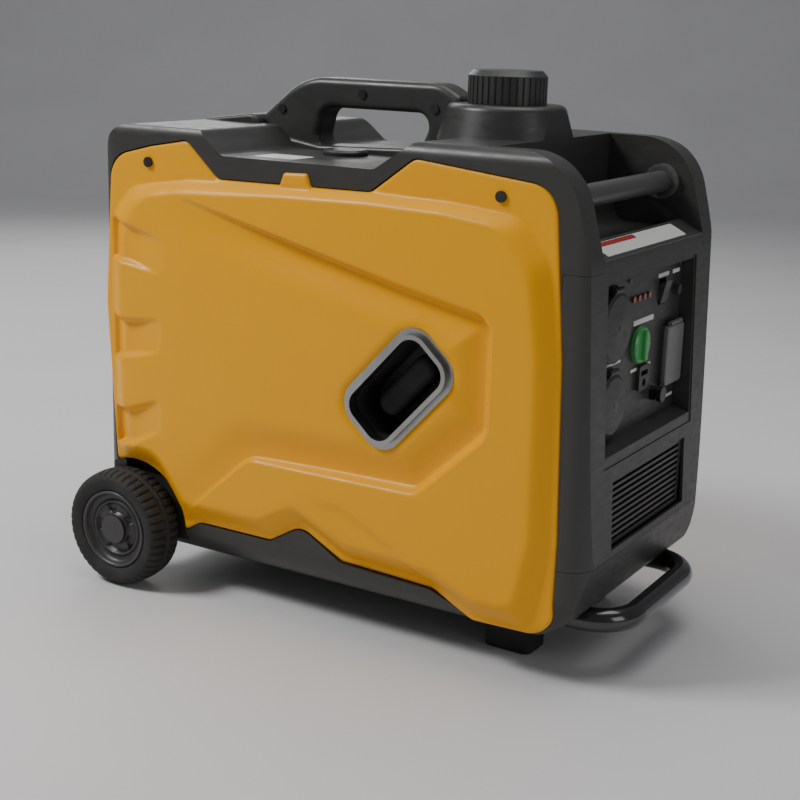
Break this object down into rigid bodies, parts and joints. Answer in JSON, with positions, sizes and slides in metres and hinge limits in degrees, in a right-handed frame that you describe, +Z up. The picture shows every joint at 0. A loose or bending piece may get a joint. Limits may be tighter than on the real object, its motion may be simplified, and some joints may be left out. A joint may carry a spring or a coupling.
{
  "type": "portable generator",
  "caption": "Closed-case portable inverter generator with two rear wheels, pull-out tow handle, carry handle, recoil starter, fuel cap and outlet panel.",
  "frame": {"origin": "bottom centre of the bounding box, on the ground", "axes": "+X towards the control panel end, -Y towards the recoil starter side, +Z up"},
  "size_m": [0.599, 0.37, 0.536],
  "materials": {
    "casing_plastic": "moulded, fine grain",
    "yellow_plastic": "moulded, semi-gloss",
    "chrome_trim": "satin bright plating",
    "label_stock": "printed film, blank",
    "zinc_screw": "zinc plated",
    "black_rubber": "matte",
    "tyre_rubber": "matte, semi-pneumatic",
    "wheel_plastic": "moulded nylon",
    "bar_finish": "powder coated",
    "black_tube": "gloss black paint",
    "black_plastic": "moulded",
    "grey_plastic": "moulded",
    "green_plastic": "moulded",
    "lamp_lens": "tinted lens",
    "cast_alloy": "as cast",
    "steel": "machined",
    "hot_steel": "heat dulled",
    "rope_fibre": "braided"
  },
  "bodies": {
    "chassis": {"base_tray": "casing_plastic", "front_frame": "casing_plastic", "rear_frame": "casing_plastic", "top_cover": "casing_plastic", "control_panel": "casing_plastic", "intake_grille": "casing_plastic", "exhaust_grille": "casing_plastic", "handle_near_half": "casing_plastic", "handle_far_half": "casing_plastic", "recoil_cup": "casing_plastic", "starter_side_panel": "yellow_plastic", "plain_side_panel": "yellow_plastic", "window_bezel": "chrome_trim", "blank_labels": "label_stock", "case_screws": "zinc_screw", "ground_terminal": "zinc_screw", "front_feet": "black_rubber", "engine_mounts": "black_rubber", "front_grip_bar": "bar_finish", "filler_neck": "black_plastic", "fuel_tank": "black_plastic", "recoil_housing": "black_plastic", "air_filter_box": "black_plastic", "tow_guides": "black_plastic", "upper_outlet": "black_plastic", "lower_outlet": "black_plastic", "duplex_outlet": "black_plastic", "dc_socket": "black_plastic", "axle_caps": "black_plastic", "indicator_lights": "lamp_lens", "crankcase": "cast_alloy", "cylinder": "cast_alloy", "head_cover": "cast_alloy", "inverter_module": "cast_alloy", "carburetor": "cast_alloy", "alternator_stator": "steel", "spark_plug": "steel", "wheel_axle": "steel", "muffler": "hot_steel", "pull_rope": "rope_fibre"},
    "left_wheel": {"left_tyre": "tyre_rubber", "left_rim": "wheel_plastic"},
    "right_wheel": {"right_tyre": "tyre_rubber", "right_rim": "wheel_plastic"},
    "tow_bar": {"tow_handle": "black_tube"},
    "cap_liner": {"fuel_cap_insert": "black_plastic"},
    "cap": {"fuel_cap": "black_plastic"},
    "hatch_ring": {"hatch_seal": "black_rubber"},
    "hatch": {"plug_hatch": "black_plastic"},
    "crank": {"crankshaft": "steel", "flywheel_fan": "cast_alloy", "alternator_rotor": "steel"},
    "grip": {"recoil_grip": "black_rubber"},
    "pulley": {"recoil_pulley": "black_plastic"},
    "dial": {"engine_dial": "green_plastic"},
    "upper_cover": {"upper_outlet_cover": "black_plastic"},
    "lower_cover": {"lower_outlet_cover": "black_plastic"},
    "wide_cover": {"duplex_cover": "grey_plastic"},
    "rocker": {"eco_switch": "black_plastic"},
    "breaker": {"breaker_button": "black_plastic"}
  },
  "joints": [
    {"name": "left_wheel_spin", "type": "hinge", "parent": "chassis", "child": "left_wheel", "pos_m": [-0.2385, -0.164, 0.061], "axis": [0, 1, 0], "continuous": true},
    {"name": "right_wheel_spin", "type": "hinge", "parent": "chassis", "child": "right_wheel", "pos_m": [-0.2385, 0.164, 0.061], "axis": [0, 1, 0], "continuous": true},
    {"name": "tow_handle_slide", "type": "slide", "parent": "chassis", "child": "tow_bar", "axis": [1, 0, 0], "range_m": [0, 0.3]},
    {"name": "fuel_cap_lift", "type": "slide", "parent": "chassis", "child": "cap_liner", "axis": [0, 0, 1], "range_m": [0, 0.06]},
    {"name": "fuel_cap_turn", "type": "hinge", "parent": "cap_liner", "child": "cap", "pos_m": [0.102, 0, 0.52], "axis": [0, 0, 1], "continuous": true},
    {"name": "plug_hatch_lift", "type": "slide", "parent": "chassis", "child": "hatch_ring", "axis": [0, 0, 1], "range_m": [0, 0.03]},
    {"name": "plug_hatch_turn", "type": "hinge", "parent": "hatch_ring", "child": "hatch", "pos_m": [-0.05, -0.045, 0.451], "axis": [0, 0, 1], "range_deg": [0, 90]},
    {"name": "crank_spin", "type": "hinge", "parent": "chassis", "child": "crank", "pos_m": [0.02, 0, 0.212], "axis": [0, 1, 0], "continuous": true},
    {"name": "recoil_pull", "type": "slide", "parent": "chassis", "child": "grip", "axis": [0, -1, 0], "range_m": [0, 0.5], "stiffness_N_per_m": 20},
    {"name": "recoil_pulley_spin", "type": "hinge", "parent": "chassis", "child": "pulley", "pos_m": [0.02, -0.0937, 0.212], "axis": [0, 1, 0], "range_deg": [0, 700]},
    {"name": "engine_dial_turn", "type": "hinge", "parent": "chassis", "child": "dial", "pos_m": [0.25, 0, 0.293], "axis": [1, 0, 0], "range_deg": [-60, 60]},
    {"name": "upper_cover_flip", "type": "hinge", "parent": "chassis", "child": "upper_cover", "pos_m": [0.256, -0.068, 0.354], "axis": [0, -1, 0], "range_deg": [0, 100], "stiffness_Nm_per_rad": 0.01},
    {"name": "lower_cover_flip", "type": "hinge", "parent": "chassis", "child": "lower_cover", "pos_m": [0.256, -0.068, 0.28], "axis": [0, -1, 0], "range_deg": [0, 100], "stiffness_Nm_per_rad": 0.01},
    {"name": "duplex_cover_flip", "type": "hinge", "parent": "chassis", "child": "wide_cover", "pos_m": [0.256, 0.078, 0.303], "axis": [0, -1, 0], "range_deg": [0, 100], "stiffness_Nm_per_rad": 0.01},
    {"name": "eco_switch_rock", "type": "hinge", "parent": "chassis", "child": "rocker", "pos_m": [0.25, 0.052, 0.336], "axis": [0, 1, 0], "range_deg": [-14, 0]},
    {"name": "breaker_press", "type": "slide", "parent": "chassis", "child": "breaker", "axis": [-1, 0, 0], "range_m": [0, 0.004], "stiffness_N_per_m": 200}
  ],
  "couplings": [
    {"joint": "recoil_pulley_spin", "follows": "recoil_pull", "rad_per_m": 23.697}
  ]
}
